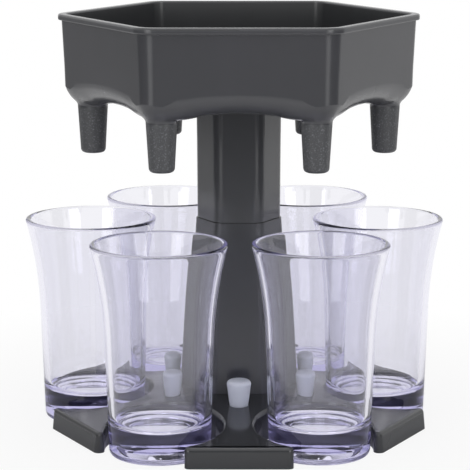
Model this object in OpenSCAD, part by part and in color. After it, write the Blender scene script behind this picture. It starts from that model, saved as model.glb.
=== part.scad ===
// Party shot dispenser: a hexagonal pouring tray on a two-piece column and a six-armed
// base, with six shot glasses and the six silicone stoppers that close its spouts.
// The stand is laid out round the glasses: each has a spout over it and a pocket round it.
// Millimetres, +Z up. The origin is on the table, on the axis of the column.
// The flat front of every hexagon faces -Y, so the spouts and the glasses lie at
// 0, 60, 120 ... degrees and the arms of the base between them at 30, 90, 150 ...

/* [Glasses] */
// Height of a glass
glass_h = 69.3; // [56:0.1:84]
// Outer radius at the rim
glass_rim_r = 22.5; // [20:0.1:28]
// Outer radius at the foot
glass_foot_r = 16.5; // [13:0.1:20]
// Widening of the lower body, in mm per mm of height
glass_taper = 0.033; // [0.01:0.001:0.05]
// Height at which the mouth starts to flare
flare_start = 38; // [30:1:45]
// Sharpness of the flare: 1 is a cone
flare_power = 2.1; // [1.5:0.1:3]
// Wall thickness
glass_wall = 1.9; // [1.2:0.1:2.4]
// Thickness of the heavy bottom
glass_floor_t = 9.5; // [4:0.5:14]
// Space between the rims of two neighbouring glasses
rim_space = 4.2; // [3:0.1:8]
// Space left where a glass leans on the wall of its pocket
glass_gap = 0.7; // [0.3:0.1:1.5]
// Direction in which each glass has been pushed in its pocket, in degrees
glass_push = [150, 99, 112, 128, 238, 320];

/* [Tray] */
// Height of the rim above the table
rim_z = 138.8; // [115:0.2:168]
// How far the centre of an upright corner's rounding lies outside the spout below it
corner_inset = 3.57; // [2:0.01:5]
// Radius of the six upright corners
tray_corner_r = 7.8; // [6:0.2:10]
// Height of the thickened lip round the rim
lip_h = 2.1; // [1:0.1:4]
// How far the lip stands out from the wall
lip_overhang = 1.2; // [0.6:0.1:2]
// Thickness of the side walls
tray_wall = 1.7; // [1.2:0.1:2.5]
// How far the wall leans in from the lip to the lower edge
wall_draft = 0.9; // [0.3:0.1:2]
// Depth of the tray from the rim to its underside
tray_depth = 28.8; // [24:0.2:36]
// Radius of the lower outer edge
tray_edge_r = 6; // [3:0.5:8]
// Thickness of the floor
floor_t = 1.9; // [1.4:0.1:3]
// Rise of the floor's middle, which sends the drink outwards
floor_rise = 3; // [1:0.5:5]

/* [Spouts] */
// Radius of the straight drain bore
drain_bore_r = 2.75; // [2.2:0.05:3.4]
// How much wider the funnel over a bore is at the floor than the bore, on the radius
funnel_flare = 2.75; // [1:0.05:3]
// Thickness of a spout's wall at its tip
spout_wall = 1.55; // [1.2:0.05:2]
// How much wider a spout is at its root than at its tip, on the radius
spout_draft = 0.8; // [0.2:0.1:1.5]
// Length of a spout below the underside of the tray
spout_len = 18; // [12:0.5:22]
// Rounding of the tip
spout_tip_round = 1.4; // [0.5:0.1:1.5]
// Radius of the swelling that joins each spout to the underside
lobe_r = 12; // [9:0.5:14]
// How far that swelling hangs below the underside
lobe_drop = 2; // [1:0.1:3]

/* [Column] */
// Height above the table of the seam between the two columns
seam_z = 69.8; // [56:0.2:84]
// Half width of the upper column at its top, from the axis to a flat side
upper_top_apothem = 12.95; // [11:0.05:16]
// Half width of the lower column at the seam
lower_top_apothem = 12.95; // [11:0.05:16]
// How far the upper column stands back from the lower one at the seam
seam_step = 0.2; // [0.1:0.05:0.6]
// Half width of the lower column at its foot
lower_foot_apothem = 16.1; // [13:0.1:20]
// Radius of the upper column's upright corners
upper_corner_r = 4.5; // [3:0.1:5.5]
// Radius of the lower column's upright corners
lower_corner_r = 3.5; // [2:0.1:5]
// Wall thickness of both columns
column_wall = 2; // [1.6:0.1:2.6]
// Length of each hexagonal tenon
tenon_len = 12; // [8:0.5:16]
// Clearance round each tenon in its socket
tenon_gap = 0.15; // [0.1:0.05:0.3]

/* [Base] */
// How far the arms reach past the circle on which the glasses stand
arm_reach = 14.3; // [10:0.1:20]
// Height of the base at the end of an arm
base_edge_h = 6.8; // [5.5:0.1:9]
// Rise of the top towards the column, in mm per mm
base_slope = 0.107; // [0.05:0.001:0.15]
// How far the ends of the arms lean in
base_draft = 0.6; // [0.2:0.1:1.5]
// Chamfer along the top edge of the arms
base_chamfer = 0.8; // [0.4:0.1:1.5]
// Radius of the upright corners of the arms
base_corner_r = 1; // [0.5:0.1:3]
// Thickness of the base's walls and top
base_wall = 2.1; // [1.5:0.1:3]
// Clearance round a glass that stands in the middle of its pocket
pocket_gap = 2.8; // [1:0.1:3.5]
// Angle from a pocket's outward line at which its straight mouth begins
mouth_from = 76; // [70:1:82]

/* [Stoppers] */
// Whole length of a stopper
stopper_len = 13.5; // [10:0.5:16]
// How much wider its upper end is than the drain bore that it closes, on the radius
stopper_grip = 1.45; // [0.8:0.05:1.8]
// How much narrower its tip is than the drain bore, on the radius
stopper_entry = 0.3; // [0.1:0.05:0.6]
// Rounding of the upper edge
stopper_round = 0.8; // [0.4:0.1:1.2]
// Space between the upper end of a stored stopper and the foot of the column
stopper_space = 4.7; // [2:0.1:6]
// How deep a stored stopper stands in the base
stopper_seat = 5.4; // [4:0.1:6.5]
// Clearance round a stored stopper at the mouth of its hole
stopper_gap = 0.2; // [0.1:0.05:0.4]

/* [Hidden] */
$fn = 96;
slab_t = 0.02;          // thickness of the flat slices that a hull joins
cut = 1;                // how far a cutting shape runs past what it cuts
corner_steps = 7;       // facets of an upright corner; an odd number leaves no edge in line with a spout
arc_steps = 6;          // facets of a rounding

plastic = [0.27, 0.27, 0.29];
clear_plastic = [0.85, 0.86, 0.95, 0.35];
silicone = [0.86, 0.88, 0.92];

// Glasses, and the circle on which they, the spouts and the pockets lie
flare_r = glass_rim_r - glass_foot_r - glass_taper * glass_h;
glass_inner_round = 4;
glass_foot_round = 1.4;
spout_circle_r = 2 * glass_rim_r + rim_space;

// Tray, from the rim down
rim_apothem = (spout_circle_r + corner_inset) * cos(30) + tray_corner_r;
underside_z = rim_z - tray_depth;
wall_top_apothem = rim_apothem - lip_overhang;
wall_foot_apothem = wall_top_apothem - wall_draft;
floor_z = underside_z + floor_t;
corner_pull = 0.25;                     // share of the lower rounding that tightens the corners
inner_edge_r = max(1, tray_edge_r - tray_wall);
dome_top_r = 4;                         // radius of the flat on the raised middle of the floor

// Spouts
drain_funnel_r = drain_bore_r + funnel_flare;
spout_tip_r = drain_bore_r + spout_wall;
spout_root_r = spout_tip_r + spout_draft;
spout_tip_z = underside_z - spout_len;
lobe_z = underside_z - lobe_drop;
lobe_inset = 0.55 * tray_edge_r;        // how far the swellings end inside the foot of the wall
lobe_corner_r = 0.6 * tray_corner_r;
lobe_sink = 0.3;                        // how far the edge of a swelling reaches into the floor
root_blend = 0.8;                       // widening of a spout where it meets its swelling
root_blend_h = 1;                       // height of that widening
funnel_z = lobe_z + 0.6;                // where the straight drain bore ends and its funnel begins
funnel_clear_h = 2;                     // how far a funnel goes on above the floor, into the foot of the wall

// Columns, and the collar under the tray
ledge = 0.6;                            // step at the bottom of a socket, on which a tenon would stop
upper_foot_apothem = lower_top_apothem - seam_step;
upper_socket_apothem = upper_top_apothem - column_wall;
lower_socket_apothem = lower_top_apothem - column_wall;
collar_apothem = upper_socket_apothem - tenon_gap;
upper_tenon_apothem = lower_socket_apothem - tenon_gap;
upper_socket_corner_r = max(1, upper_corner_r - column_wall);
lower_socket_corner_r = max(1, lower_corner_r - column_wall);
collar_bore_corner_r = 0.6 * upper_socket_corner_r;
upper_socket_z = underside_z - tenon_len - ledge;
lower_socket_z = seam_z - tenon_len - ledge;

// Base
base_apothem = spout_circle_r + arm_reach;
base_top_apothem = base_apothem - base_draft - base_chamfer;
pocket_r = glass_foot_r + pocket_gap;
glass_play = pocket_gap - glass_gap;
mouth_len = base_apothem;
mouth_inset = 0.1;                      // keeps the straight mouth just short of touching the round well
hub_z = base_edge_h + base_slope * (base_top_apothem - lower_foot_apothem);
hub_floor_t = base_wall;
hub_socket_apothem = lower_foot_apothem - column_wall - tenon_gap;
foot_tenon_apothem = hub_socket_apothem - tenon_gap;
foot_tenon_len = hub_z - hub_floor_t - tenon_gap;
foot_bore_apothem = foot_tenon_apothem - column_wall;

// Stoppers
stopper_top_r = drain_bore_r + stopper_grip;
stopper_tip_r = drain_bore_r - stopper_entry;
stopper_tip_chamfer = 0.4;
stopper_crown = 0.2;                    // rise of the upper end's middle
stopper_circle_r = lower_foot_apothem + stopper_space + stopper_top_r;
stopper_taper = (stopper_top_r - stopper_tip_r) / stopper_len;
stopper_hole_r = stopper_tip_r + stopper_taper * stopper_seat + stopper_gap;
stopper_hole_spare = 0.5;               // depth left in the hole under a stored stopper
stopper_boss_wall = 1.6;
stopper_mouth_z = base_edge_h + base_slope * (base_top_apothem - stopper_circle_r);
stopper_z = stopper_mouth_z - stopper_seat;

// Points of a hexagon with rounded corners, one corner on +X
function hexagon(apothem, corner_r) = [
    for (side = [0:5], step = [0:corner_steps])
        let (turn = 60 * side, a = turn - 30 + 60 * step / corner_steps,
            centre = (apothem - corner_r) / cos(30))
        [centre * cos(turn) + corner_r * cos(a), centre * sin(turn) + corner_r * sin(a)]
];

// Outer radius of a glass at a height
function glass_r(z) = glass_foot_r + glass_taper * z
    + flare_r * pow(max(0, z - flare_start) / (glass_h - flare_start), flare_power);

// Points of an arc round a centre [r, z], from one angle to another
function arc(centre, radius, from, to) = [
    for (step = [0:arc_steps])
        let (a = from + (to - from) * step / arc_steps)
        centre + radius * [cos(a), sin(a)]
];

module prism(apothem, corner_r, z_low, z_high) {
    translate([0, 0, z_low]) linear_extrude(z_high - z_low)
        polygon(hexagon(apothem, corner_r));
}

// A slice one slab thick that stands on z
module slice(apothem, corner_r, z) {
    prism(apothem, corner_r, z, z + slab_t);
}

// Moves its child out from the axis and turns it round the axis
module at(radius, angle) {
    rotate([0, 0, angle]) translate([radius, 0, 0]) children();
}

// The tray's body, with straight walls, a rounded lower edge and a flat bottom
module tray_body(top_apothem, foot_apothem, corner_r, edge_r, z_low, z_high) {
    hull() {
        slice(top_apothem, corner_r, z_high - slab_t);
        for (a = [0:18:90])
            slice(foot_apothem - edge_r * (1 - cos(a)),
                corner_r - corner_pull * edge_r * (1 - cos(a)), z_low + edge_r * (1 - sin(a)));
    }
}

// Outer shape of a spout and the swelling above it, turned about the spout's axis
module spout_outside() {
    rotate_extrude() polygon(concat(
        [[0, spout_tip_z]],
        arc([spout_tip_r - spout_tip_round, spout_tip_z + spout_tip_round],
            spout_tip_round, -90, 0),
        [[spout_root_r, lobe_z - root_blend_h], [spout_root_r + root_blend, lobe_z],
         [0.75 * lobe_r, lobe_z + 0.5 * lobe_drop], [lobe_r, underside_z + lobe_sink],
         [lobe_r, floor_z], [0, floor_z]]));
}

// Bore of a spout with the funnel that leads into it
module drain() {
    funnel_h = floor_z - funnel_z;
    translate([0, 0, spout_tip_z - cut])
        cylinder(r = drain_bore_r, h = funnel_z - spout_tip_z + 2 * cut);
    translate([0, 0, funnel_z]) cylinder(r1 = drain_bore_r,
        r2 = drain_bore_r + funnel_flare * (funnel_h + funnel_clear_h) / funnel_h,
        h = funnel_h + funnel_clear_h);
}

module tray() {
    color(plastic) difference() {
        union() {
            tray_body(wall_top_apothem, wall_foot_apothem, tray_corner_r - lip_overhang,
                tray_edge_r, underside_z, rim_z);
            prism(rim_apothem, tray_corner_r, rim_z - lip_h, rim_z);
            intersection() {
                for (turn = [0:60:300]) at(spout_circle_r, turn) spout_outside();
                prism(wall_foot_apothem - lobe_inset, lobe_corner_r, spout_tip_z - cut, floor_z);
            }
            prism(collar_apothem, upper_socket_corner_r, underside_z - tenon_len, floor_z);
        }
        difference() {
            tray_body(wall_top_apothem - tray_wall, wall_foot_apothem - tray_wall,
                tray_corner_r - tray_wall, inner_edge_r, floor_z, rim_z + cut);
            translate([0, 0, floor_z - slab_t]) cylinder(r1 = spout_circle_r - drain_funnel_r,
                r2 = dome_top_r, h = floor_rise);
        }
        for (turn = [0:60:300]) at(spout_circle_r, turn) drain();
        prism(collar_apothem - column_wall, collar_bore_corner_r,
            underside_z - tenon_len - cut, underside_z);
    }
}

// Upper column: a tapered tube whose socket takes the tray's collar and whose lower
// end is the tenon of the seam
module upper_column() {
    color(plastic) difference() {
        union() {
            hull() {
                slice(upper_foot_apothem, upper_corner_r, seam_z);
                slice(upper_top_apothem, upper_corner_r, underside_z - slab_t);
            }
            prism(upper_tenon_apothem, lower_socket_corner_r, seam_z - tenon_len, seam_z + cut);
        }
        prism(upper_socket_apothem, upper_socket_corner_r, upper_socket_z, underside_z + cut);
        hull() {
            slice(upper_foot_apothem - column_wall, upper_socket_corner_r, seam_z + column_wall);
            slice(upper_socket_apothem - ledge, upper_socket_corner_r, upper_socket_z);
        }
        prism(upper_tenon_apothem - column_wall, lower_socket_corner_r,
            seam_z - tenon_len - cut, seam_z + column_wall + cut);
    }
}

// Lower column: a tapered tube with the socket of the seam and a tenon for the base
module lower_column() {
    color(plastic) difference() {
        union() {
            hull() {
                slice(lower_foot_apothem, lower_corner_r, hub_z);
                slice(lower_top_apothem, lower_corner_r, seam_z - slab_t);
            }
            prism(foot_tenon_apothem, lower_corner_r, hub_z - foot_tenon_len, hub_z + cut);
        }
        prism(lower_socket_apothem, lower_socket_corner_r, lower_socket_z, seam_z + cut);
        hull() {
            slice(foot_bore_apothem, lower_socket_corner_r, hub_z - slab_t);
            slice(lower_socket_apothem - ledge, lower_socket_corner_r, lower_socket_z);
        }
        prism(foot_bore_apothem, lower_socket_corner_r, hub_z - foot_tenon_len - cut, hub_z);
    }
}

// The base's solid outline, before the pockets are cut: a low hexagonal pyramid
module base_block(inset) {
    hull() {
        slice(base_apothem - inset, base_corner_r, 0);
        slice(base_apothem - base_draft - inset, base_corner_r,
            base_edge_h - base_chamfer - inset);
        slice(base_top_apothem - inset, base_corner_r, base_edge_h - inset);
        slice(lower_foot_apothem, base_corner_r, hub_z - slab_t - inset);
    }
}

// What a pocket removes: a round well whose mouth narrows to the tips of two arms
module pocket(grow) {
    radius = pocket_r + grow;
    far = (radius - mouth_inset) * cos(mouth_from);
    wide = (radius - mouth_inset) * sin(mouth_from);
    narrow = wide - (mouth_len - far) * tan(90 - mouth_from);
    translate([0, 0, -cut]) {
        cylinder(r = radius, h = hub_z + 2 * cut);
        linear_extrude(hub_z + 2 * cut)
            polygon([[0, wide], [far, wide], [mouth_len, narrow],
                [mouth_len, -narrow], [far, -wide], [0, -wide]]);
    }
}

module base_holder() {
    color(plastic) difference() {
        base_block(0);
        for (turn = [0:60:300]) at(spout_circle_r, turn) pocket(0);
        // Hollow underside, which leaves the walls, the hub and the stopper bosses
        difference() {
            translate([0, 0, -slab_t]) base_block(base_wall);
            for (turn = [0:60:300]) at(spout_circle_r, turn) pocket(base_wall);
            prism(lower_foot_apothem, base_corner_r, -cut, hub_z);
            for (turn = [30:60:330]) at(stopper_circle_r, turn)
                translate([0, 0, -cut]) cylinder(r = stopper_hole_r + stopper_boss_wall, h = hub_z);
        }
        prism(hub_socket_apothem, lower_corner_r, hub_floor_t, hub_z + cut);
        for (turn = [30:60:330]) at(stopper_circle_r, turn)
            translate([0, 0, stopper_z - stopper_hole_spare]) cylinder(r = stopper_hole_r, h = hub_z);
    }
}

// One shot glass, standing at the origin
module glass() {
    rim_r = glass_wall / 2;
    floor_r = glass_r(glass_floor_t) - glass_wall;
    outside = [for (step = [0:14]) let (z = glass_foot_round
        + (glass_h - rim_r - glass_foot_round) * step / 14) [glass_r(z), z]];
    inside_low = glass_floor_t + glass_inner_round;
    inside = [for (step = [12:-1:0]) let (z = inside_low
        + (glass_h - rim_r - inside_low) * step / 12) [glass_r(z) - glass_wall, z]];
    color(clear_plastic) rotate_extrude() polygon(concat(
        [[0, 0]],
        arc([glass_r(0) - glass_foot_round, glass_foot_round], glass_foot_round, -90, -15),
        outside,
        arc([glass_r(glass_h - rim_r) - rim_r, glass_h - rim_r], rim_r, 20, 160),
        inside,
        arc([floor_r - glass_inner_round, inside_low], glass_inner_round, -15, -90),
        [[0, glass_floor_t]]));
}

// The glass of one pocket, where it has been left leaning on the pocket's wall
module placed_glass(number) {
    rotate([0, 0, 60 * number]) translate([spout_circle_r, 0, 0])
        rotate([0, 0, glass_push[number] - 60 * number]) translate([glass_play, 0, 0]) glass();
}

// One stopper, tip down, with its tip at the origin
module stopper() {
    color(silicone) rotate_extrude() polygon(concat(
        [[0, 0], [stopper_tip_r - stopper_tip_chamfer, 0], [stopper_tip_r, stopper_tip_chamfer]],
        arc([stopper_top_r - stopper_round, stopper_len - stopper_round], stopper_round, 0, 90),
        [[0, stopper_len + stopper_crown]]));
}

module stored_stopper(number) {
    at(stopper_circle_r, 30 + 60 * number) translate([0, 0, stopper_z]) stopper();
}

tray();
upper_column();
lower_column();
base_holder();
placed_glass(0);  // shot_glass_right
placed_glass(1);  // shot_glass_back_right
placed_glass(2);  // shot_glass_back_left
placed_glass(3);  // shot_glass_left
placed_glass(4);  // shot_glass_front_left
placed_glass(5);  // shot_glass_front_right
stored_stopper(0);  // stopper_right_back
stored_stopper(1);  // stopper_back
stored_stopper(2);  // stopper_left_back
stored_stopper(3);  // stopper_left_front
stored_stopper(4);  // stopper_front
stored_stopper(5);  // stopper_right_front
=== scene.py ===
"""Party shot dispenser: a six-spouted tray on a column, six shot glasses round its base, and six stoppers.

Sizes are written in millimetres in the frame of the CAD model and turned to metres when a mesh is finished.
"""
import logging
import math
from collections.abc import Callable, Iterable, Mapping, Sequence
from dataclasses import dataclass
from enum import Enum

import bmesh
import bpy
from bmesh.types import BMEdge, BMesh, BMFace, BMVert
from bpy.types import Material, Node, NodeSocket, NodeTree, Object
from mathutils import Matrix, Vector


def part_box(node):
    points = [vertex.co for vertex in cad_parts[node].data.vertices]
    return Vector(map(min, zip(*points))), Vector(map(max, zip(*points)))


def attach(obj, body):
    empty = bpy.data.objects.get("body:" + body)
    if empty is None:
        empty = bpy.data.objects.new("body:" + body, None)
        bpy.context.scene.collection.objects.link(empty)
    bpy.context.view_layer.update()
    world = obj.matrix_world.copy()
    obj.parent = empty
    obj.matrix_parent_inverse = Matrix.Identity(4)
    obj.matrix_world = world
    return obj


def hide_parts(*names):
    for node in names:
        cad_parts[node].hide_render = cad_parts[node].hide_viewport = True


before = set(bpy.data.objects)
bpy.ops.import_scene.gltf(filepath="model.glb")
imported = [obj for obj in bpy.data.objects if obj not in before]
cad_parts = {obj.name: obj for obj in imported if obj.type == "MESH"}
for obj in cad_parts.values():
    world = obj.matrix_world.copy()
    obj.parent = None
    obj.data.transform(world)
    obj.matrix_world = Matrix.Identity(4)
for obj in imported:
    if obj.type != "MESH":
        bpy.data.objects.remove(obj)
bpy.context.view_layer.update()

log = logging.getLogger("dispenser")

MM = 0.001
COS30 = math.cos(math.radians(30))
TAN30 = math.tan(math.radians(30))
SPOUT_CIRCLE = 49.2  # the spouts, the pockets and the glasses lie on this radius
TENON = 10.8  # half the width across flats of the tray's collar and of the upper column's tenon
TENON_CORNER = 2.35  # rounding of their upright corners
TENON_BORE = 8.8
BORE_CORNER = 1.5
SOCKET = 10.95  # half the width of the sockets that take them
CORNER_POINTS = 9  # vertices across each rounded corner of a hexagonal tube
ABS_IOR = 1.53


class Place(Enum):
    """A place round the column, by its bearing from +X in degrees."""

    @property
    def label(self) -> str:
        """The place's name as the CAD nodes and bodies write it."""
        return self.name.lower()

    @property
    def direction(self) -> Vector:
        """The unit vector towards the place."""
        return Vector((math.cos(math.radians(self.value)), math.sin(math.radians(self.value)), 0))


class Side(Place):
    """The six corners of the tray, each with a spout over a pocket and a glass."""

    RIGHT = 0
    BACK_RIGHT = 60
    BACK_LEFT = 120
    LEFT = 180
    FRONT_LEFT = 240
    FRONT_RIGHT = 300


class Arm(Place):
    """The six arms of the base, each with a stopper."""

    RIGHT_BACK = 30
    BACK = 90
    LEFT_BACK = 150
    LEFT_FRONT = 210
    FRONT = 270
    RIGHT_FRONT = 330


# ---------------------------------------------------------------- node helpers


def linear(colour: str) -> tuple[float, float, float, float]:
    """Turns an sRGB hex colour to the linear one that a shader takes.

    Args:
        colour: the colour as "#RRGGBB".

    Returns:
        Linear red, green and blue, and an alpha of 1.
    """
    parts = [int(colour[i:i + 2], 16) / 255 for i in (1, 3, 5)]
    red, green, blue = (c / 12.92 if c <= 0.04045 else ((c + 0.055) / 1.055) ** 2.4 for c in parts)
    return red, green, blue, 1.0


def grain(size: float) -> float:
    """The scale of a noise on Object coordinates whose features are this many millimetres across."""
    return 1 / (size * MM)


def add(tree: NodeTree, kind: str, settings: Mapping[str | int, object] | None = None,
        links: Mapping[str | int, Node | NodeSocket] | None = None) -> Node:
    """Adds one node to a tree, sets it and links its inputs.

    Args:
        tree: the node tree of a material or of the world.
        kind: the node's type without "ShaderNode", such as "TexNoise".
        settings: values by the name or number of an input, or by the name of a property.
        links: output sockets, or nodes for their first output, by the name or number of the input
            that each feeds.

    Returns:
        The new node.
    """
    node = tree.nodes.new(f"ShaderNode{kind}")
    for key, value in (settings or {}).items():
        if isinstance(key, int) or key in node.inputs:
            node.inputs[key].default_value = value
        else:
            setattr(node, key, value)
    for key, source in (links or {}).items():
        tree.links.new(source.outputs[0] if isinstance(source, Node) else source, node.inputs[key])
    return node


def blank(name: str) -> tuple[Material, NodeTree, NodeSocket]:
    """Makes an empty node material.

    Args:
        name: the material's name.

    Returns:
        The material, its node tree and the Object coordinates in it.
    """
    material = bpy.data.materials.new(name)
    material.use_nodes = True
    tree = material.node_tree
    tree.nodes.clear()
    return material, tree, add(tree, "TexCoord").outputs["Object"]


# ---------------------------------------------------------------- finishes


@dataclass(frozen=True)
class PolishedAbs:
    """Dark grey ABS moulded against polished steel: a soft gloss with a faint flow of the melt in it."""

    name: str
    colour: str = "#3F4043"
    flow_colour: str = "#45464A"
    roughness: float = 0.22
    play: float = 0.06  # share by which the roughness varies either way
    peel: float = 0.0016  # height of the surface's long shallow waves, in millimetres

    def make(self) -> Material:
        """Builds the material."""
        material, tree, place = blank(self.name)
        # The melt's flow shows as clouds some 30 mm across, hardly lighter than the rest.
        cloud = add(tree, "TexNoise", {"Scale": grain(30), "Detail": 3.0, "Roughness": 0.55},
                    {"Vector": place})
        tint = add(tree, "Mix", {"data_type": "RGBA", 6: linear(self.colour), 7: linear(self.flow_colour)},
                   {0: cloud})
        # Polishing marks run up the mould: 3 mm wide and some 40 mm long, they only move the gloss.
        drawn = add(tree, "Mapping", {"Scale": (1.0, 1.0, 0.07)}, {"Vector": place})
        marks = add(tree, "TexNoise", {"Scale": grain(3), "Detail": 2.0}, {"Vector": drawn})
        gloss = add(tree, "MapRange",
                    {"From Min": 0.3, "From Max": 0.7, "To Min": self.roughness * (1 - self.play),
                     "To Max": self.roughness * (1 + self.play)}, {"Value": marks})
        waves = add(tree, "TexNoise", {"Scale": grain(5), "Detail": 1.0}, {"Vector": place})
        peel = add(tree, "Bump", {"Strength": 1.0, "Distance": self.peel * MM}, {"Height": waves})
        skin = add(tree, "BsdfPrincipled", {"IOR": ABS_IOR},
                   {"Base Color": tint.outputs[2], "Roughness": gloss, "Normal": peel})
        add(tree, "OutputMaterial", {}, {"Surface": skin})
        return material


@dataclass(frozen=True)
class SparkedAbs:
    """The same ABS moulded against a spark-eroded face: a dull grain, with pale specks painted as its glints.
    """

    name: str
    colour: str = "#494A4D"
    # The pale specks stand for light glinting on the grain: painted glints.
    glint_speck_colour: str = "#85868C"
    from_height: float = 107.9  # going down, the grain begins here, in millimetres above the table,
    full_height: float = 107.0  # and is full here
    relief: float = 0.10  # depth of the grain, in millimetres

    def make(self) -> Material:
        """Builds the material."""
        material, tree, place = blank(self.name)
        height = add(tree, "SeparateXYZ", {}, {"Vector": place})
        depth = add(tree, "MapRange",
                    {"From Min": self.from_height * MM, "From Max": self.full_height * MM},
                    {"Value": height.outputs["Z"]})
        # Spark erosion leaves pits of about 0.1 mm, drawn 0.5 mm wide, so that the render shows them.
        pits = add(tree, "TexNoise", {"Scale": grain(0.5), "Detail": 2.0, "Roughness": 0.6},
                   {"Vector": place})
        # Where the pits' noise is high the colour turns pale, as painted glints of the grain.
        bright = add(tree, "MapRange", {"From Min": 0.55, "From Max": 0.80}, {"Value": pits})
        specks = add(tree, "Math", {"operation": "MULTIPLY"}, {0: bright, 1: depth})
        tint = add(tree, "Mix", {"data_type": "RGBA", 6: linear(self.colour), 7: linear(self.glint_speck_colour)},
                   {0: specks})
        dull = add(tree, "MapRange", {"To Min": 0.26, "To Max": 0.5}, {"Value": depth})
        grainy = add(tree, "Math", {"operation": "MULTIPLY"}, {0: pits, 1: depth})
        relief = add(tree, "Bump", {"Strength": 1.0, "Distance": self.relief * MM}, {"Height": grainy})
        skin = add(tree, "BsdfPrincipled", {"IOR": ABS_IOR},
                   {"Base Color": tint.outputs[2], "Roughness": dull, "Normal": relief})
        add(tree, "OutputMaterial", {}, {"Surface": skin})
        return material


@dataclass(frozen=True)
class ClearStyrene:
    """Clear moulded polystyrene: pale in the wall, lilac along edges and in the heavy foot."""

    name: str
    absorption: tuple[float, float, float] = (0.22, 0.14, 0.80)
    density: float = 18.0  # per metre, so 10 mm of it takes about a seventh of the green
    haze: str = "#F5F5F8"  # what each face lets through: fine wear greys the walls a little
    ripple: float = 0.004  # height of the flow ripples, in millimetres
    passed: tuple[float, float, float] = (0.9, 0.9, 0.93)  # share of a lamp's light that a face lets through

    def make(self) -> Material:
        """Builds the material."""
        material, tree, place = blank(self.name)
        # Ripples left by the melt run down the wall, about 4 mm wide and 30 mm long.
        drawn = add(tree, "Mapping", {"Scale": (1.0, 1.0, 0.13)}, {"Vector": place})
        flow = add(tree, "TexNoise", {"Scale": grain(4), "Detail": 2.0}, {"Vector": drawn})
        ripple = add(tree, "Bump", {"Strength": 1.0, "Distance": self.ripple * MM}, {"Height": flow})
        skin = add(tree, "BsdfPrincipled",
                   {"Base Color": linear(self.haze), "IOR": 1.57, "Roughness": 0.0,
                    "Transmission Weight": 1.0},
                   {"Normal": ripple})
        # The lamps' light passes the thin walls, so that the base and the stoppers behind them aren't in
        # black shade, and light that a wall has mirrored inside three times leaves it, so that rims and
        # feet stay lilac.
        path = add(tree, "LightPath")
        tired = add(tree, "Math", {"operation": "GREATER_THAN", 1: 2.5}, {0: path.outputs["Glossy Depth"]})
        leaves = add(tree, "Math", {"operation": "MAXIMUM"}, {0: path.outputs["Is Shadow Ray"], 1: tired})
        clear = add(tree, "BsdfTransparent", {"Color": (*self.passed, 1.0)})
        blend = add(tree, "MixShader", {}, {0: leaves, 1: skin, 2: clear})
        tone = add(tree, "VolumeAbsorption", {"Color": (*self.absorption, 1.0), "Density": self.density})
        add(tree, "OutputMaterial", {}, {"Surface": blend, "Volume": tone})
        return material


@dataclass(frozen=True)
class WhiteSilicone:
    """Translucent white silicone rubber: milky, with a dull sheen and a dusting of fine grain."""

    name: str
    colour: str = "#E2E6EC"
    thick_colour: str = "#DADFE6"
    relief: float = 0.006  # height of the grain, in millimetres
    glow_depth: float = 3.0  # how far light spreads in the rubber, in millimetres

    def make(self) -> Material:
        """Builds the material."""
        material, tree, place = blank(self.name)
        # The milkiness varies in clouds of 6 mm, about the stopper's own width.
        milk = add(tree, "TexNoise", {"Scale": grain(6), "Detail": 2.0}, {"Vector": place})
        tint = add(tree, "Mix", {"data_type": "RGBA", 6: linear(self.colour), 7: linear(self.thick_colour)},
                   {0: milk})
        # The grain of the mould, really 0.05 mm, is drawn 0.5 mm wide, so that the render shows it.
        dust = add(tree, "TexNoise", {"Scale": grain(0.5), "Detail": 2.0}, {"Vector": place})
        sheen = add(tree, "MapRange", {"To Min": 0.36, "To Max": 0.52}, {"Value": dust})
        relief = add(tree, "Bump", {"Strength": 1.0, "Distance": self.relief * MM}, {"Height": dust})
        skin = add(tree, "BsdfPrincipled",
                   {"IOR": 1.41, "Subsurface Weight": 0.55, "Subsurface Radius": (1.0, 1.0, 1.0),
                    "Subsurface Scale": self.glow_depth * MM},
                   {"Base Color": tint.outputs[2], "Roughness": sheen, "Normal": relief})
        add(tree, "OutputMaterial", {}, {"Surface": skin})
        return material


# ---------------------------------------------------------------- mesh helpers


def verts_in(geometry: Iterable[object]) -> list[BMVert]:
    """The vertices in what an operator returned."""
    return [g for g in geometry if isinstance(g, BMVert)]


def edges_in(geometry: Iterable[object]) -> list[BMEdge]:
    """The edges in what an operator returned."""
    return [g for g in geometry if isinstance(g, BMEdge)]


def faces_in(geometry: Iterable[object]) -> list[BMFace]:
    """The faces in what an operator returned."""
    return [g for g in geometry if isinstance(g, BMFace)]


def wire(bm: BMesh, points: Sequence[Sequence[float]], closed: bool = False) -> list[BMVert]:
    """Draws a chain of edges.

    Args:
        bm: the mesh that gets the chain.
        points: its corners in order.
        closed: True to join the last corner to the first.

    Returns:
        The new vertices in order.
    """
    verts = [bm.verts.new(p) for p in points]
    for a, b in zip(verts, verts[1:] + (verts[:1] if closed else [])):
        bm.edges.new((a, b))
    return verts


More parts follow.
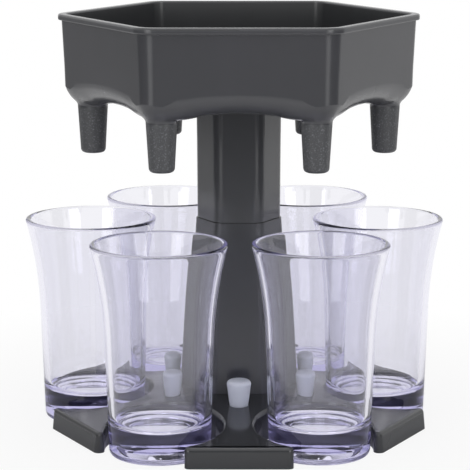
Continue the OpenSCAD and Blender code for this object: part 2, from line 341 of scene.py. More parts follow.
def turned(outline: Sequence[tuple[float, float, float]], steps: int, round_steps: int) -> BMesh:
    """Turns a piece round the Z axis, as on a lathe.

    Args:
        outline: radius, height and rounding radius of each corner of half the cross-section.
        steps: number of faces round the piece.
        round_steps: number of faces across a rounding.

    Returns:
        The closed piece, its faces pointing outwards.
    """
    bm = bmesh.new()
    verts = wire(bm, [(r, 0, z) for r, z, _ in outline])
    bends = []
    for before, vert, after, corner in zip(verts, verts[1:], verts[2:], outline[1:]):
        turn = (vert.co - before.co).angle(after.co - vert.co)
        if corner[2] > 0 and turn > 0.01:
            bends.append((vert, corner[2] * math.tan(turn / 2)))
    for vert, offset in bends:
        bmesh.ops.bevel(bm, geom=[vert], offset=offset, offset_type="OFFSET", affect="VERTICES",
                        segments=round_steps, profile=0.5, material=-1)
    bmesh.ops.spin(bm, geom=bm.verts[:] + bm.edges[:], cent=(0, 0, 0), axis=(0, 0, 1),
                   angle=math.tau, steps=steps, use_merge=True)
    bmesh.ops.remove_doubles(bm, verts=bm.verts[:], dist=0.001)
    bmesh.ops.recalc_face_normals(bm, faces=bm.faces[:])
    return bm


@dataclass(frozen=True)
class HexRing:
    """One ring of a hexagonal moulding: half its width across flats, its corners' rounding, its height."""

    apothem: float
    corner: float
    height: float


def hexagonal(stations: Sequence[HexRing]) -> BMesh:
    """Lofts a closed hexagonal shell with rounded upright corners, one of which points along +X.

    Args:
        stations: the rings in order round the wall's cross-section; the last is joined to the first.

    Returns:
        The closed shell, its faces pointing outwards.
    """
    bm = bmesh.new()
    corner_at = bm.verts.layers.float.new("corner")
    faces_to = bm.verts.layers.float.new("faces_to")
    bmesh.ops.create_circle(bm, segments=6 * CORNER_POINTS, radius=1)
    for number, vert in enumerate(bm.verts):
        corner, step = divmod(number, CORNER_POINTS)
        vert[corner_at] = math.radians(60 * corner)
        vert[faces_to] = math.radians(60 * corner - 30 + 60 * step / (CORNER_POINTS - 1))
    edges = bm.edges[:]

    def settle(verts: Iterable[BMVert], ring: HexRing) -> None:
        """Moves a ring's vertices to their station."""
        middle = (ring.apothem - ring.corner) / COS30
        for vert in verts:
            vert.co = (middle * math.cos(vert[corner_at]) + ring.corner * math.cos(vert[faces_to]),
                       middle * math.sin(vert[corner_at]) + ring.corner * math.sin(vert[faces_to]),
                       ring.height)

    settle(bm.verts, stations[0])
    for ring in [*stations[1:], stations[0]]:
        made = bmesh.ops.extrude_edge_only(bm, edges=edges)["geom"]
        settle(verts_in(made), ring)
        edges = edges_in(made)
    bmesh.ops.remove_doubles(bm, verts=bm.verts[:], dist=0.001)
    bmesh.ops.recalc_face_normals(bm, faces=bm.faces[:])
    return bm


def repeat_round(bm: BMesh, reach: float) -> None:
    """Repeats a sixth of a piece five times round the Z axis and joins the six.

    Args:
        bm: the mesh, which holds the sixth alone.
        reach: vertices this close to each other are merged.
    """
    sixth = bm.verts[:] + bm.edges[:] + bm.faces[:]
    for number in range(1, 6):
        copy = bmesh.ops.duplicate(bm, geom=sixth)["geom"]
        bmesh.ops.rotate(bm, cent=(0, 0, 0), matrix=Matrix.Rotation(math.radians(60 * number), 3, "Z"),
                         verts=verts_in(copy))
    bmesh.ops.remove_doubles(bm, verts=bm.verts[:], dist=reach)


def add_shell(bm: BMesh, other: BMesh) -> None:
    """Adds a finished shell to a piece of which it is a part.

    Args:
        bm: the piece's mesh.
        other: the shell, which is used up.
    """
    spare = bpy.data.meshes.new("spare")
    other.to_mesh(spare)
    other.free()
    bm.from_mesh(spare)
    bpy.data.meshes.remove(spare)


def finished(bm: BMesh, name: str, materials: Sequence[Material], crease: float = 32,
             even: bool = True) -> Object:
    """Turns a mesh in millimetres to a finished object.

    Args:
        bm: the mesh, which is used up.
        name: the object's name.
        materials: the materials in the order of the faces' material numbers.
        crease: faces that meet at more than this many degrees keep a sharp edge.
        even: True to keep the large flat faces flat where a rounding runs into them.

    Returns:
        The object, at the origin and in metres.
    """
    bmesh.ops.scale(bm, vec=(MM, MM, MM), verts=bm.verts[:])
    for face in bm.faces:
        face.smooth = True
    for edge in bm.edges:
        if len(edge.link_faces) == 2 and edge.calc_face_angle(0) > math.radians(crease):
            edge.smooth = False
    mesh = bpy.data.meshes.new(name)
    bm.to_mesh(mesh)
    bm.free()
    for material in materials:
        mesh.materials.append(material)
    piece = bpy.data.objects.new(name, mesh)
    bpy.context.scene.collection.objects.link(piece)
    if even:
        weights = piece.modifiers.new("even", "WEIGHTED_NORMAL")
        weights.keep_sharp = True
    return piece


def fit(piece: Object, body: str, node: str) -> Object:
    """Puts a piece on its CAD body in place of its CAD node.

    Args:
        piece: the finished object.
        body: the body that it rides on.
        node: the CAD node that it stands for.

    Returns:
        The piece.
    """
    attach(piece, body)
    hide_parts(node)
    log.info("%s: %d faces, on %s, for %s", piece.name, len(piece.data.polygons), body, node)
    return piece


def smooth_step(value: float, low: float, high: float) -> float:
    """Rises from 0 at low to 1 at high without a kink."""
    share = min(1.0, max(0.0, (value - low) / (high - low)))
    return share * share * (3 - 2 * share)


def smooth_min(a: float, b: float, blend: float) -> float:
    """The lesser of two heights, with the step between them rounded over this blend."""
    near = max(blend - abs(a - b), 0) / blend
    return min(a, b) - near * near * blend / 4


# ---------------------------------------------------------------- tray


@dataclass
class Tray:
    """The hexagonal tray, moulded in one with its six spouts, and the collar under its middle."""

    foot_apothem: float = 51.4
    foot_corner: float = 5.7
    wall: float = 1.7
    edge_round: float = 7.6
    corner_round: float = 7.0  # the lower rounding shrinks to this at the corners, round their spouts
    underside_z: float = 110.0
    arch: float = 0.9  # rise of the underside's edge between two spouts
    floor_arch: float = 0.85  # share of that rise which the floor inside follows
    floor_z: float = 111.9
    floor_rise: float = 3.0
    floor_reach: float = 46.0  # the floor has fallen from its rise in the middle at this radius
    drain_slope: float = 1.2  # the funnel round a drain rises by this, to each millimetre outwards
    lobe_drop: float = 1.1
    spout_root: float = 5.05
    spout_tip: float = 4.2
    tip_round: float = 1.4
    root_z: float = 107.9
    tip_z: float = 92.0
    fillet: tuple[float, float, float] = (2.05, 0.37, 0.24)  # how it rises, leans out and steepens again
    bore: float = 2.75
    bore_top_z: float = 108.6
    rim_apothem: float = 53.49
    rim_z: float = 138.79
    collar_z: float = 98.0
    collar_top_z: float = 110.4
    rings: int = 34
    finish: PolishedAbs = PolishedAbs("tray, polished dark ABS", "#454649", "#4B4B50", roughness=0.24)
    spout_finish: SparkedAbs = SparkedAbs("spouts, spark-textured dark ABS")
    # The bowl's colour is darker than the outside's: painted shade of the hollow.
    bowl_shade_finish: PolishedAbs = PolishedAbs("bowl, polished dark ABS with painted shade", "#3B3C3E", "#404143", roughness=0.19)

    def clear_of_wall(self, x: float, y: float, apothem: float, corner: float) -> float:
        """Distance from a point of the sector round +X to the wall.

        Args:
            x: place along the sector's middle.
            y: place across it.
            apothem: half the width of the wall across flats.
            corner: rounding of the wall's upright corner.

        Returns:
            The distance, positive inside the wall.
        """
        ahead = x - (apothem - corner) / COS30
        if ahead > 0 and abs(y) <= ahead * TAN30:
            return corner - math.hypot(ahead, y)
        return apothem - (x * COS30 + abs(y) / 2)

    def lower_rounding(self, clear: float, y: float, radius: float) -> float:
        """Height that the rounding at the foot of the wall adds, this far from the wall."""
        grown = radius + (self.corner_round - self.edge_round) * (1 - smooth_step(abs(y), 2, 14))
        inside = max(0.0, grown - max(0.0, clear))
        return grown - math.sqrt(max(0.0, grown * grown - inside * inside))

    def between_spouts(self, x: float, y: float) -> float:
        """Share of the arch: 1 at the edge midway between two spouts, 0 at the spouts and the middle."""
        return smooth_step(math.hypot(x - SPOUT_CIRCLE, y), 8, 23) * smooth_step(math.hypot(x, y), 26, 46)

    def underside(self, x: float, y: float) -> float:
        """Height of the outside, below the wall: floor, rounding, and the lobe and fillet round the spout."""
        clear = self.clear_of_wall(x, y, self.foot_apothem, self.foot_corner)
        away = math.hypot(x - SPOUT_CIRCLE, y)
        body = (self.underside_z + self.arch * self.between_spouts(x, y)
                + self.lower_rounding(clear, y, self.edge_round)
                - self.lobe_drop * (1 - smooth_step(away, 5.5, 15)))
        # The fillet leaves the spout upright, leans to some 45 degrees and steepens again into the
        # wall's rounding.
        rise, lean, steepen = self.fillet
        out = max(0.0, away - self.spout_root)
        fillet = self.root_z + rise * math.sqrt(out) - lean * out + steepen * out ** 2
        return smooth_min(body, fillet, 0.8)

    def bowl(self, x: float, y: float) -> float:
        """Height of the inside: a floor that falls to the drains and rounds into the wall."""
        clear = self.clear_of_wall(x, y, self.foot_apothem - self.wall, self.foot_corner - self.wall)
        # The 4 mm in the distance from the middle round the floor's peak.
        fall = self.floor_rise * max(0.0, 1 - math.hypot(x, y, 4) / self.floor_reach)
        body = (self.floor_z + fall + self.floor_arch * self.arch * self.between_spouts(x, y)
                + self.lower_rounding(clear, y, self.edge_round - self.wall))
        drain = self.bore_top_z + self.drain_slope * (math.hypot(x - SPOUT_CIRCLE, y) - self.bore)
        return smooth_min(body, drain, 1.0)

    def spout_outline(self) -> list[tuple[float, float]]:
        """Lists the rings of a spout, down its outside, round its tip and up its bore.

        Returns:
            The radius and the height of each ring.
        """
        slope = (self.spout_root - self.spout_tip) / (self.root_z - self.tip_z - self.tip_round)
        rings = [(self.spout_root - slope * down, self.root_z - down)
                 for down in (0.4, 1.0, 1.8, 3, 5, 7, 9, 11, 13, 14.4)]
        for bend in (math.radians(degrees) for degrees in range(0, 91, 15)):
            rings.append((self.spout_tip - self.tip_round * (1 - math.cos(bend)),
                          self.tip_z + self.tip_round * (1 - math.sin(bend))))
        return rings + [(self.bore + 0.15, self.tip_z), (self.bore, self.tip_z + 0.15), (self.bore, 100),
                        (self.bore, self.bore_top_z)]

    def wall_outline(self) -> list[tuple[float, float]]:
        """Lists the rings of the wall, up its inside, over the lip and down its outside.

        Returns:
            Half the width across flats and the height of each ring.
        """
        inner, rim, top = self.foot_apothem - self.wall, self.rim_apothem, self.rim_z
        return [(inner + 0.2, 122), (inner + 0.5, 130), (inner + 0.86, top - 0.69),
                (inner + 0.95, top - 0.29), (inner + 1.2, top - 0.06), (inner + 1.5, top),
                (rim - 0.69, top), (rim - 0.39, top - 0.06),
                (rim - 0.17, top - 0.21), (rim - 0.04, top - 0.44), (rim, top - 0.74), (rim, top - 1.49),
                (rim - 0.05, top - 1.79), (rim - 0.19, top - 1.96), (rim - 0.44, top - 2.04),
                (rim - 0.99, top - 2.09), (rim - 1.15, top - 2.17), (rim - 1.21, top - 2.39),
                (52.15, 134), (51.95, 129.5), (51.75, 125), (51.58, 121.5)]

    def sector(self) -> BMesh:
        """Builds the sixth of the tray round the spout on +X, as one skin over all its surfaces.

        Returns:
            The open skin; six of them close the tray.
        """
        bm = bmesh.new()
        names = ("edge_x", "edge_y", "out_x", "out_y", "turn", "wall")
        layer = {name: bm.verts.layers.float.new(name) for name in names}
        middle = (self.foot_apothem * COS30, self.foot_apothem / 2)
        corners = wire(bm, [(0, 0, 0), (middle[0], -middle[1], 0), (self.foot_apothem / COS30, 0, 0),
                            (*middle, 0)], closed=True)
        bmesh.ops.bevel(bm, geom=[corners[2]], offset=self.foot_corner * TAN30, offset_type="OFFSET",
                        affect="VERTICES", segments=14, profile=0.5, material=-1)
        for near_middle, cuts in ((False, 10), (True, 26)):
            lines = [e for e in bm.edges if e.calc_length() > 15
                     and (min(v.co.length for v in e.verts) < 1) == near_middle]
            bmesh.ops.subdivide_edges(bm, edges=lines, cuts=cuts)
        for vert in bm.verts:
            # The lines to the middle take close steps near the wall, where they cross its rounding.
            far = vert.co.length / self.foot_apothem
            if far < 0.999 and abs(abs(vert.co.y) - vert.co.x * TAN30) < 0.01:
                vert.co *= (1 - (1 - far) ** 1.5) / max(far, 0.001)
        for vert in bm.verts:
            x, y = vert.co.x, vert.co.y
            on_wall = self.clear_of_wall(x, y, self.foot_apothem, self.foot_corner) < 0.3
            ahead = x - (self.foot_apothem - self.foot_corner) / COS30
            # The wall's outward direction turns through the round corner and stays put beyond it.
            bearing = math.copysign(math.radians(30), y)
            if ahead > 0 and abs(math.atan2(y, ahead)) < abs(bearing):
                bearing = math.atan2(y, ahead)
            vert[layer["edge_x"]], vert[layer["edge_y"]] = x, y
            vert[layer["out_x"]], vert[layer["out_y"]] = math.cos(bearing), math.sin(bearing)
            vert[layer["turn"]] = math.atan2(y, x - SPOUT_CIRCLE)
            vert[layer["wall"]] = float(on_wall)

        def edge_of(vert: BMVert, apothem: float) -> tuple[float, float]:
            """Where a vertex lies on the sector's edge when the wall stands at this apothem."""
            x, y = vert[layer["edge_x"]], vert[layer["edge_y"]]
            if vert[layer["wall"]]:
                step = apothem - self.foot_apothem
                return x + step * vert[layer["out_x"]], y + step * vert[layer["out_y"]]
            return x * apothem / self.foot_apothem, y * apothem / self.foot_apothem

        def extend(edges: list[BMEdge], spot: Callable[[BMVert], tuple[float, float, float]]) -> list[BMEdge]:
            """Extrudes the loop once and puts each new vertex where spot says."""
            made = bmesh.ops.extrude_edge_only(bm, edges=edges)["geom"]
            for vert in verts_in(made):
                vert.co = spot(vert)
            return edges_in(made)

        def between(vert: BMVert, radius: float, apothem: float, share: float,
                    height: Callable[[float, float], float]) -> tuple[float, float, float]:
            """A point on the way from the circle round the spout's axis, at share 0, to the sector's edge."""
            edge_x, edge_y = edge_of(vert, apothem)
            circle_x = SPOUT_CIRCLE + radius * math.cos(vert[layer["turn"]])
            circle_y = radius * math.sin(vert[layer["turn"]])
            x, y = circle_x + (edge_x - circle_x) * share, circle_y + (edge_y - circle_y) * share
            return x, y, height(x, y)

        def round_spout(vert: BMVert, radius: float, height: float) -> tuple[float, float, float]:
            """A point on a ring of the spout."""
            turn = vert[layer["turn"]]
            return SPOUT_CIRCLE + radius * math.cos(turn), radius * math.sin(turn), height

        shares = [(1 + math.cos(math.pi * k / self.rings)) / 2 for k in range(self.rings + 1)]
        edges = bm.edges[:]
        for vert in bm.verts:
            vert.co = between(vert, self.spout_root, self.foot_apothem, 1, self.underside)
        for share in shares[1:]:
            edges = extend(edges, lambda v, s=share: between(v, self.spout_root, self.foot_apothem, s,
                                                             self.underside))
        for radius, height in self.spout_outline():
            edges = extend(edges, lambda v, r=radius, h=height: round_spout(v, r, h))
        inner = self.foot_apothem - self.wall
        for share in shares[-2::-1]:
            edges = extend(edges, lambda v, s=share: between(v, self.bore, inner, s, self.bowl))
        edges = [e for e in edges if all(v[layer["wall"]] for v in e.verts)]
        for apothem, height in self.wall_outline():
            edges = extend(edges, lambda v, a=apothem, h=height: (*edge_of(v, a), h))
        extend(edges, lambda v: between(v, self.spout_root, self.foot_apothem, 1, self.underside))
        bmesh.ops.remove_doubles(bm, verts=bm.verts[:], dist=0.002)
        return bm

    def build(self) -> Object:
        """Builds the tray from its six sectors and adds the collar."""
        bm = self.sector()
        repeat_round(bm, 0.003)
        bmesh.ops.recalc_face_normals(bm, faces=bm.faces[:])
        axes = [side.direction.to_2d() * SPOUT_CIRCLE for side in Side]
        for face in bm.faces:
            middle = face.calc_center_median()
            # The drain bore inside a spout is as smooth as the bowl, and like the bowl it is darker than the
            # outside: painted shade of the hollows.
            inside = min((middle.to_2d() - axis).length for axis in axes) < self.bore + 0.1
            in_shaded_bowl = face.normal.z > 0.005 and middle.z < self.rim_z - 0.59
            face.material_index = 2 if inside or in_shaded_bowl else int(middle.z < self.root_z)
        low, high = self.collar_z, self.collar_top_z
        add_shell(bm, hexagonal([
            HexRing(TENON - 0.3, TENON_CORNER - 0.15, low), HexRing(TENON, TENON_CORNER, low + 0.3),
            HexRing(TENON, TENON_CORNER, high), HexRing(TENON_BORE, BORE_CORNER, high),
            HexRing(TENON_BORE, BORE_CORNER, low + 0.2), HexRing(TENON_BORE + 0.2, BORE_CORNER + 0.1, low)]))
        finishes = [self.finish.make(), self.spout_finish.make(), self.bowl_shade_finish.make()]
        return fit(finished(bm, "tray_with_spouts", finishes), "tray", "tray")


# ---------------------------------------------------------------- columns and base


@dataclass
class Columns:
    """The two hexagonal tubes between the base and the tray, which meet at a fine seam."""

    seam_z: float = 69.8
    top_z: float = 110.0
    foot_z: float = 11.7
    tenon_length: float = 12.0
    socket_depth: float = 12.6
    finish: PolishedAbs = PolishedAbs("column, polished dark ABS", roughness=0.2)

    def build(self) -> list[Object]:
        """Builds the upper column with its tenon, and the lower one with its socket."""
        material = self.finish.make()
        top, seam, foot = self.top_z, self.seam_z, self.foot_z
        tenon_end, depth = seam - self.tenon_length, self.socket_depth
        upper = hexagonal([
            HexRing(12.5, 4.35, seam), HexRing(12.68, 4.45, seam + 0.08), HexRing(12.75, 4.5, seam + 0.28),
            HexRing(12.95, 4.5, top - 0.3), HexRing(12.7, 4.4, top), HexRing(SOCKET + 0.2, 2.6, top),
            HexRing(SOCKET, 2.5, top - 0.3), HexRing(SOCKET, 2.5, top - depth),
            HexRing(TENON_BORE, BORE_CORNER, top - depth), HexRing(TENON_BORE, BORE_CORNER, tenon_end),
            HexRing(TENON - 0.3, TENON_CORNER - 0.15, tenon_end),
            HexRing(TENON, TENON_CORNER, tenon_end + 0.3), HexRing(TENON, TENON_CORNER, seam)])
        lower = hexagonal([
            HexRing(16.08, 3.5, foot - 0.4), HexRing(16.1, 3.5, foot), HexRing(13.0, 3.5, seam - 0.3),
            HexRing(12.93, 3.45, seam - 0.1), HexRing(12.72, 3.4, seam), HexRing(SOCKET + 0.2, 1.7, seam),
            HexRing(SOCKET, BORE_CORNER, seam - 0.3), HexRing(SOCKET, BORE_CORNER, seam - depth),
            HexRing(9.6, BORE_CORNER, seam - depth), HexRing(13.2, BORE_CORNER, foot - 0.4)])
        return [
            fit(finished(upper, "column_upper_tube", [material]), "column", "upper_column"),
            fit(finished(lower, "column_lower_tube", [material]), "base", "lower_column"),
        ]


@dataclass
class Base:
    """The low six-armed base, hollow underneath, with round pockets and a stopper's hole in each arm."""

    apothem: float = 63.5
    draft: float = 0.6  # the arms' fronts lean in by this at the level of block_z,
    draft_zone: float = 2.5  # and the last part of each arm, this long, leans with them
    edge_z: float = 6.8
    slope: float = 0.107  # the top rises by this to each millimetre inwards,
    slope_from: float = 62.1  # from this distance
    pocket: float = 19.3
    mouth_from: float = 58.0  # degrees off the pocket's way out, where its round turns to a straight mouth
    tip_corner: float = 1.8
    edge_round: float = 1.35
    skin: float = 2.1
    block_z: float = 20.0  # level at which the top is drawn before it is tilted
    hole: float = 3.35
    hole_circle: float = 25.0
    hole_floor_z: float = 4.87
    boss_wall: float = 1.6  # the boss is the wall and the floor of a stopper's hole, under the top
    boss_foot_z: float = 3.2
    boss_floor_z: float = 4.3
    boss_top_z: float = 9.3
    finish: PolishedAbs = PolishedAbs("base, polished dark ABS", "#36373A", "#3C3D40", roughness=0.13)

    def top_z(self, spot: Vector) -> float:
        """Height of the tilted top at a place, before the edge's rounding."""
        along = max(spot.dot(arm.direction) for arm in Arm)
        return self.edge_z + self.slope * (self.slope_from - along)

    def outline(self, bm: BMesh) -> list[BMFace]:
        """Draws the flat shape of the base: six arms, each a face with an edge in common with the next.

        Args:
            bm: the mesh that gets it.

        Returns:
            The six faces, at the table's level.
        """
        hub = bm.verts.new((0, 0, 0))
        tips = []
        for hand in (-1, 1):
            centre = Vector((SPOUT_CIRCLE * COS30, hand * SPOUT_CIRCLE / 2, 0))
            inner = centre * (1 - self.pocket / SPOUT_CIRCLE)
            start = bm.verts.new(inner)
            bm.edges.new((hub, start))
            arc = bmesh.ops.spin(bm, geom=[start], cent=centre, axis=(0, 0, hand),
                                 angle=math.radians(180 - self.mouth_from), steps=34)
            end = verts_in(arc["geom_last"])[0]
            # From the round well a straight mouth runs to the arm's tip, whose corner is rounded.
            heading = math.radians(120 - self.mouth_from)
            along = Vector((math.cos(heading), hand * math.sin(heading), 0))
            corner_length = self.tip_corner / math.tan((math.pi / 2 - heading) / 2)
            mouth = (self.apothem - end.co.x) / along.x - corner_length
            turn_in = bm.verts.new(end.co + along * mouth)
            bm.edges.new((end, turn_in))
            across = Vector((along.y * hand, -along.x * hand, 0))
            bend = bmesh.ops.spin(bm, geom=[turn_in], cent=turn_in.co + across * self.tip_corner,
                                  axis=(0, 0, -hand), angle=math.pi / 2 + heading, steps=12)
            tips += verts_in(bend["geom_last"])
        bm.edges.new(tips)
        bmesh.ops.contextual_create(bm, geom=bm.edges[:])
        bmesh.ops.rotate(bm, cent=(0, 0, 0), matrix=Matrix.Rotation(math.radians(30), 3, "Z"),
                         verts=bm.verts[:])
        repeat_round(bm, 0.01)
        return bm.faces[:]

    def drill(self, bm: BMesh, arm: Arm) -> None:
        """Sinks the stopper's hole, with a rounded mouth, into an arm's flat top.

        Args:
            bm: the base's mesh, its top still level.
            arm: the arm that gets the hole.
        """
        level = self.block_z - 0.1
        tops = [f for f in bm.faces if len(f.verts) > 30 and f.calc_center_median().z > level]
        top = max(tops, key=lambda f: f.calc_center_median().dot(arm.direction))
        edges = top.edges[:]
        bmesh.ops.delete(bm, geom=[top], context="FACES_ONLY")
        spot = Matrix.Translation(arm.direction * self.hole_circle + Vector((0, 0, self.block_z)))
        mouth = bmesh.ops.create_circle(bm, segments=40, radius=self.hole + 0.35, matrix=spot)["verts"]
        ring = list({e for v in mouth for e in v.link_edges})
        bmesh.ops.triangle_fill(bm, use_beauty=True, use_dissolve=False, edges=edges + ring, normal=(0, 0, 1))
        centre = spot.translation
        depth = self.top_z(centre) - self.hole_floor_z
        for radius, drop in ((self.hole + 0.1, 0.1), (self.hole, 0.35), (self.hole, depth)):
            made = bmesh.ops.extrude_edge_only(bm, edges=ring)["geom"]
            for vert in verts_in(made):
                out = Vector((vert.co.x - centre.x, vert.co.y - centre.y, 0)).normalized() * radius
                vert.co = Vector((centre.x, centre.y, self.block_z - drop)) + out
            ring = edges_in(made)
        bmesh.ops.contextual_create(bm, geom=ring)

    def build(self) -> Object:
        """Builds the base as a level block, then tilts its top and adds the holes' bosses."""
        bm = bmesh.new()
        bottom = self.outline(bm)
        raised = bmesh.ops.extrude_face_region(bm, geom=bottom)["geom"]
        bmesh.ops.translate(bm, vec=(0, 0, self.block_z), verts=verts_in(raised))
        for vert in verts_in(raised):
            for arm in Arm:
                past = vert.co.dot(arm.direction) - (self.apothem - self.draft_zone)
                if past > 0:
                    vert.co -= arm.direction * self.draft * past / self.draft_zone
        tops = set(faces_in(raised))
        rim = [e for e in bm.edges if len(e.link_faces) == 2 and sum(f in tops for f in e.link_faces) == 1]
        bmesh.ops.bevel(bm, geom=rim, offset=self.edge_round, offset_type="OFFSET", affect="EDGES",
                        segments=5, profile=0.5, material=-1)

        hollow = [f for f in bm.faces if f.calc_center_median().z < 0.1 and len(f.verts) > 20]
        bmesh.ops.inset_region(bm, faces=hollow, thickness=self.skin, use_boundary=True, use_even_offset=True)
        roof = bmesh.ops.extrude_face_region(bm, geom=hollow)["geom"]
        bmesh.ops.translate(bm, vec=(0, 0, self.block_z - self.skin), verts=verts_in(roof))
        for arm in Arm:
            self.drill(bm, arm)

        bmesh.ops.recalc_face_normals(bm, faces=bm.faces[:])
        for vert in bm.verts:
            if vert.co.z > 2:  # all but the ring on the table
                flat = Vector((vert.co.x, vert.co.y, 0))
                vert.co.z += self.top_z(flat) - self.block_z
        outer, inner = self.hole + self.boss_wall, self.hole + 0.15
        foot, floor, top = self.boss_foot_z, self.boss_floor_z, self.boss_top_z
        for arm in Arm:
            boss = turned([(0, foot, 0), (outer, foot, 0.4), (outer, top, 0), (inner, top, 0),
                           (inner, floor, 0), (0, floor, 0)], 32, 3)
            bmesh.ops.translate(boss, vec=arm.direction * self.hole_circle, verts=boss.verts[:])
            add_shell(bm, boss)
        return fit(finished(bm, "base_six_arms", [self.finish.make()]), "base", "base_holder")


# ---------------------------------------------------------------- glasses and stoppers


@dataclass
class ShotGlass:
    """One clear shot glass with a flared mouth and a heavy bottom, where its CAD node stands."""

    side: Side
    height: float = 69.3
    foot: float = 16.5
    taper: float = 0.033
    flare: float = 3.67
    flare_from: float = 38.0
    flare_power: float = 2.1
    wall: float = 1.9
    floor: float = 9.5
    dish: float = 4.4  # depth of the hollow under the foot, inside the ring that it stands on

    def outer(self, z: float) -> float:
        """Outer radius at a height."""
        bend = max(0.0, z - self.flare_from) / (self.height - self.flare_from)
        return self.foot + self.taper * z + self.flare * bend ** self.flare_power

    def build(self, material: Material) -> Object:
        """Builds the glass.

        Args:
            material: clear styrene, shared by the six.

        Returns:
            The finished glass.
        """
        heights = [2.5, 14, 26, 34, *range(40, 68, 3)]
        rim, floor = self.outer(self.height), self.floor
        outline = [(0, self.dish, 0), (5, self.dish - 0.25, 12), (10.4, self.dish - 1.2, 5), (12.9, 1.4, 1.2),
                   (13.5, 0, 0.4), (self.foot - 0.4, 0, 1.1), (self.outer(1.6), 1.6, 0)]
        outline += [(self.outer(z), z, 0) for z in heights]
        outline += [(rim, self.height, 0.8), (rim - self.wall, self.height, 0.9)]
        outline += [(self.outer(z) - self.wall, z, 0) for z in reversed(heights) if z > floor + 4]
        outline += [(self.outer(floor) - self.wall - 0.3, floor + 0.3, 3.2), (6, floor - 0.05, 4),
                    (0, floor - 0.15, 0)]
        bm = turned(outline, 96, 8)
        low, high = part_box(f"shot_glass_{self.side.label}")
        spot = (low + high) / 2 / MM
        bmesh.ops.translate(bm, vec=(spot.x, spot.y, 0), verts=bm.verts[:])
        piece = finished(bm, f"clear_glass_{self.side.label}", [material], crease=60, even=False)
        return fit(piece, f"glass_{self.side.label}", f"shot_glass_{self.side.label}")


@dataclass
class Stopper:
    """One tapered silicone stopper, stored in an arm of the base where its CAD node stands."""

    arm: Arm
    length: float = 13.5
    top: float = 4.2
    tip: float = 2.45
    rounding: float = 1.3

    def build(self, material: Material) -> Object:
        """Builds the stopper.

        Args:
            material: white silicone, shared by the six.

        Returns:
            The finished stopper.
        """
        bm = turned([(0, 0, 0), (self.tip, 0, 0.4), (self.top, self.length - 0.1, self.rounding),
                     (2.0, self.length + 0.25, 4), (0, self.length + 0.35, 0)], 48, 6)
        low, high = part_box(f"stopper_{self.arm.label}")
        spot = (low + high) / 2 / MM
        bmesh.ops.translate(bm, vec=(spot.x, spot.y, low.z / MM), verts=bm.verts[:])
        piece = finished(bm, f"soft_stopper_{self.arm.label}", [material], crease=60)
        return fit(piece, f"stopper_{self.arm.label}", f"stopper_{self.arm.label}")


# ---------------------------------------------------------------- studio


@dataclass(frozen=True)
class Softbox:
    """A rectangular lamp that points at the middle of the object."""

    name: str
    bearing: float  # degrees from the camera's side of the object, to the right
    distance: float
    height: float
    size: tuple[float, float]
    level: float  # brightness of its face, where 1 is the white of the background

    def hang(self) -> None:
        """Adds the lamp."""
        lamp = bpy.data.lights.new(self.name, "AREA")
        lamp.shape, lamp.size, lamp.size_y = "RECTANGLE", *self.size
        lamp.energy = self.level * math.pi * self.size[0] * self.size[1]
        holder = bpy.data.objects.new(self.name, lamp)
        bearing = math.radians(self.bearing)
        holder.location = (self.distance * math.sin(bearing), -self.distance * math.cos(bearing), self.height)
        holder.rotation_euler = (holder.location - Vector((0, 0, 0.08))).to_track_quat("Z", "Y").to_euler()
        bpy.context.scene.collection.objects.link(holder)


@dataclass(frozen=True)
class Card:
    """A low card bent round the table that glows, seen only in mirrored rays: a painted reflection, which
    changes what polished walls mirror and nothing else.
    """

    name: str
    start: float  # bearings from the camera's side of the object, to the right, in degrees
    end: float
    tone: float  # brightness, where 1 is the white of the background
    distance: float = 330
    height: float = 135

    def stand(self) -> None:
        """Adds the card."""
        material, tree, _ = blank(self.name)
        glow = add(tree, "Emission", {"Color": (1, 1, 1, 1), "Strength": self.tone})
        add(tree, "OutputMaterial", {}, {"Surface": glow})
        bm = bmesh.new()
        bearing = math.radians(self.start - 90)
        out = Vector((math.cos(bearing), math.sin(bearing), 0)) * self.distance
        wire(bm, [out, out + Vector((0, 0, self.height))])
        bmesh.ops.spin(bm, geom=bm.verts[:] + bm.edges[:], cent=(0, 0, 0), axis=(0, 0, 1),
                       angle=math.radians(self.end - self.start), steps=12)
        card = finished(bm, self.name, [material], even=False)
        card.visible_camera = card.visible_diffuse = card.visible_transmission = False
        card.visible_volume_scatter = card.visible_shadow = False


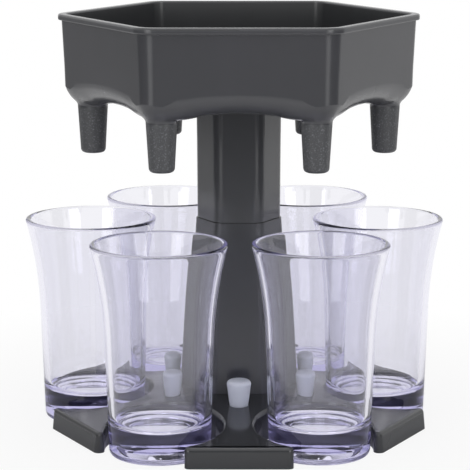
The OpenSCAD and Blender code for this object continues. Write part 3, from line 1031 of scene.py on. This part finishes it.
@dataclass
class Studio:
    """A pale floor, a white surround, soft lamps and the camera at the photograph's viewing angle."""

    ambient: float = 0.46
    floor_colour: str = "#FAFAFA"
    near_white: float = 0.88  # share of plain white in what the camera sees of the floor near the object
    fade: tuple[float, float] = (0.07, 0.18)  # that share grows to 1 between these distances, in metres
    lens: float = 158.2  # in millimetres, on a sensor 36 mm wide
    camera_place: tuple[float, float, float] = (-0.0013, -0.6916, 0.1986)
    camera_tilt: float = 78.932
    # Painted reflections: glowing cards that only the polished walls mirror.
    cards: tuple[Card, ...] = (
        Card("card front", -19, 19, 0.22),
        Card("card left", -100, -42, 0.08),
        Card("card right", 40, 92, 0.06),
        Card("card back right", 92, 150, 0.75),
        Card("card back left", -150, -100, 0.35),
        Card("low card back right", 92, 150, 0.95, 325, 50),
        Card("low card back left", -150, -100, 0.62, 325, 50),
    )
    softboxes: tuple[Softbox, ...] = (
        Softbox("softbox left", -34, 0.85, 0.26, (0.34, 0.52), 2.1),
        Softbox("softbox right", 34, 0.85, 0.26, (0.34, 0.52), 2.2),
        Softbox("softbox above", 0, 0.20, 0.95, (0.26, 0.22), 3.0),
    )

    def seen_directly(self, tree: NodeTree) -> Node:
        """1 for rays that show the background itself: from the camera, mirrored, or through glass."""
        path = add(tree, "LightPath")
        either = add(tree, "Math", {"operation": "MAXIMUM"},
                     {0: path.outputs["Is Camera Ray"], 1: path.outputs["Is Glossy Ray"]})
        return add(tree, "Math", {"operation": "MAXIMUM"},
                   {0: either, 1: path.outputs["Is Transmission Ray"]})

    def surround(self) -> None:
        """Lights the object evenly, and stands white behind it."""
        world = bpy.data.worlds.new("studio")
        bpy.context.scene.world = world
        world.use_nodes = True
        tree = world.node_tree
        tree.nodes.clear()
        level = add(tree, "MapRange", {"To Min": self.ambient, "To Max": 1.0},
                    {"Value": self.seen_directly(tree)})
        air = add(tree, "Background", {"Color": (1, 1, 1, 1)}, {"Strength": level})
        add(tree, "OutputWorld", {}, {"Surface": air})

    def floor(self) -> None:
        """Lays the pale floor, which keeps a soft shadow under the object and fades to the white surround."""
        material, tree, place = blank("pale floor")
        away = add(tree, "VectorMath", {"operation": "LENGTH"}, {0: place})
        # Near the object, walls mirror the floor's real shading, so that the pockets stay dark.
        path = add(tree, "LightPath")
        through = add(tree, "Math", {"operation": "MAXIMUM"},
                      {0: path.outputs["Is Camera Ray"], 1: path.outputs["Is Transmission Ray"]})
        near = add(tree, "Math", {"operation": "MULTIPLY", 1: self.near_white}, {0: through})
        fade = add(tree, "MapRange", {"From Min": self.fade[0], "From Max": self.fade[1], "To Max": 1.0},
                   {"Value": away.outputs["Value"], "To Min": near})
        share = add(tree, "Math", {"operation": "MULTIPLY"}, {0: fade, 1: self.seen_directly(tree)})
        paint = add(tree, "BsdfDiffuse", {"Color": linear(self.floor_colour)})
        white = add(tree, "Emission", {"Color": (1, 1, 1, 1), "Strength": 1.0})
        blend = add(tree, "MixShader", {}, {0: share, 1: paint, 2: white})
        add(tree, "OutputMaterial", {}, {"Surface": blend})
        bm = bmesh.new()
        bmesh.ops.create_grid(bm, x_segments=1, y_segments=1, size=3000)
        bmesh.ops.translate(bm, vec=(0, 0, -0.05), verts=bm.verts[:])
        finished(bm, "floor", [material], even=False)

    def camera(self) -> None:
        """Sets the camera at the place found by fitting the photograph's outlines."""
        lens = bpy.data.cameras.new("camera")
        lens.sensor_width, lens.lens = 36.0, self.lens
        lens.clip_start, lens.clip_end = 0.05, 20.0
        holder = bpy.data.objects.new("camera", lens)
        holder.location = self.camera_place
        holder.rotation_euler = (math.radians(self.camera_tilt), 0, 0)
        bpy.context.scene.collection.objects.link(holder)
        bpy.context.scene.camera = holder

    def build(self) -> None:
        """Sets up the whole studio."""
        self.camera()
        self.surround()
        self.floor()
        for softbox in self.softboxes:
            softbox.hang()
        for card in self.cards:
            card.stand()
        bpy.context.scene.view_settings.view_transform = "Standard"


def main() -> None:
    """Builds the studio, then each sub-assembly in order."""
    logging.basicConfig(level=logging.INFO, format="%(name)s: %(message)s")
    Studio().build()
    Tray().build()
    Columns().build()
    Base().build()
    styrene = ClearStyrene("glasses, clear polystyrene").make()
    for side in Side:
        ShotGlass(side).build(styrene)
    silicone = WhiteSilicone("stoppers, white silicone").make()
    for arm in Arm:
        Stopper(arm).build(silicone)


if __name__ == "__main__":
    main()
